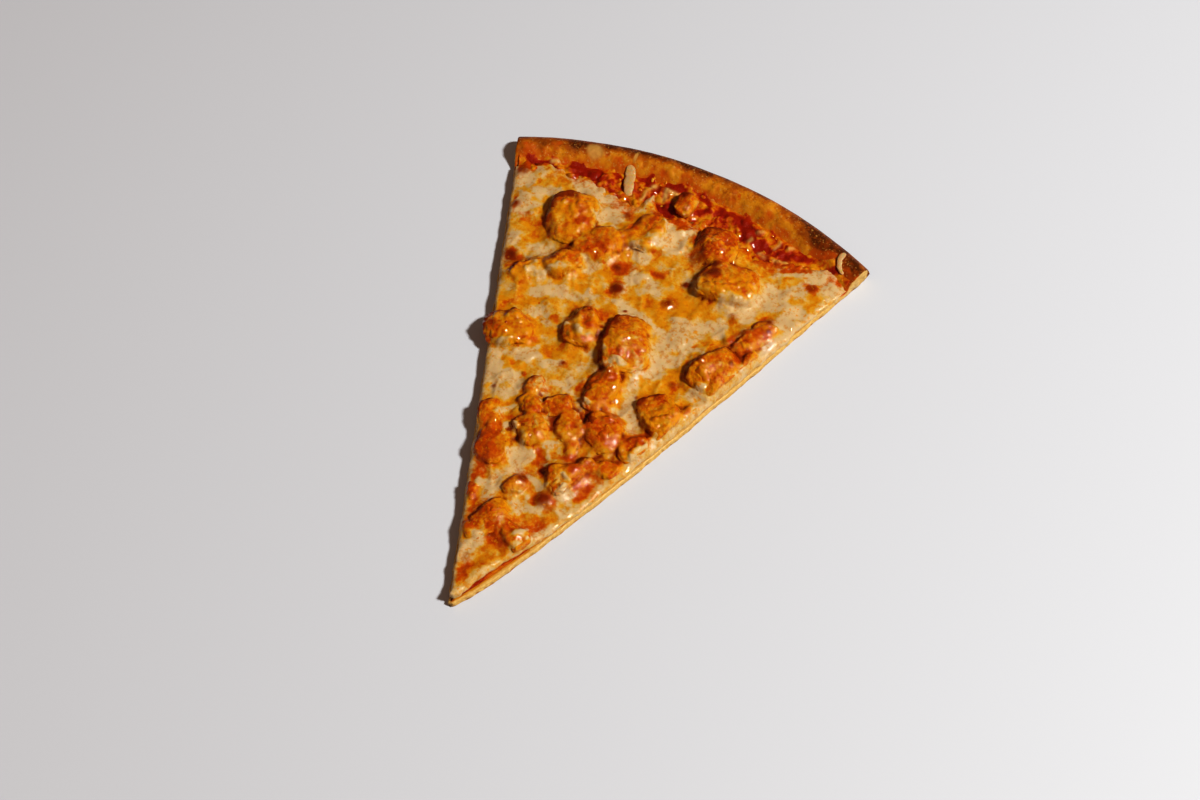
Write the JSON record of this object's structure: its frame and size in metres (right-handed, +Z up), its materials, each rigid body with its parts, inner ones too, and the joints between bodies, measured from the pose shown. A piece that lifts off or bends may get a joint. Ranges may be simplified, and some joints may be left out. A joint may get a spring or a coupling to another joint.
{
  "type": "pizza slice",
  "caption": "Large slice of thin-crust pizza with a low browned rim, tomato sauce, melted cheese and diced chicken.",
  "frame": {"origin": "under the middle of the slice, on the flat underside", "axes": "+Y runs from the tip to the rim, +Z up out of the cheese, +X across to the right-hand cut"},
  "size_m": [0.2194, 0.3042, 0.0173],
  "materials": {
    "crust": "baked dough, golden inside the rim and browned on its outer edge",
    "sauce": "glossy cooked tomato sauce",
    "cheese": "melted cheese, cream with golden-orange oil and brown blisters",
    "shred": "unmelted pale cheese",
    "chicken": "sauced and oven-browned chicken, wet with orange oil"
  },
  "bodies": {
    "root": {"crust": "crust", "tomato_sauce": "sauce", "cheese": "cheese", "cheese_shred_1": "shred", "cheese_shred_2": "shred", "chicken_01": "chicken", "chicken_02": "chicken", "chicken_03": "chicken", "chicken_04": "chicken", "chicken_05": "chicken", "chicken_06": "chicken", "chicken_07": "chicken", "chicken_08": "chicken", "chicken_09": "chicken", "chicken_10": "chicken", "chicken_11": "chicken", "chicken_12": "chicken", "chicken_13": "chicken", "chicken_14": "chicken", "chicken_15": "chicken", "chicken_16": "chicken", "chicken_17": "chicken", "chicken_18": "chicken", "chicken_19": "chicken", "chicken_20": "chicken", "chicken_21": "chicken", "chicken_22": "chicken", "chicken_23": "chicken", "chicken_24": "chicken", "chicken_25": "chicken", "chicken_26": "chicken", "chicken_27": "chicken", "chicken_28": "chicken", "chicken_29": "chicken", "chicken_30": "chicken", "chicken_31": "chicken", "chicken_32": "chicken", "chicken_33": "chicken", "chicken_34": "chicken", "chicken_35": "chicken"}
  },
  "joints": []
}
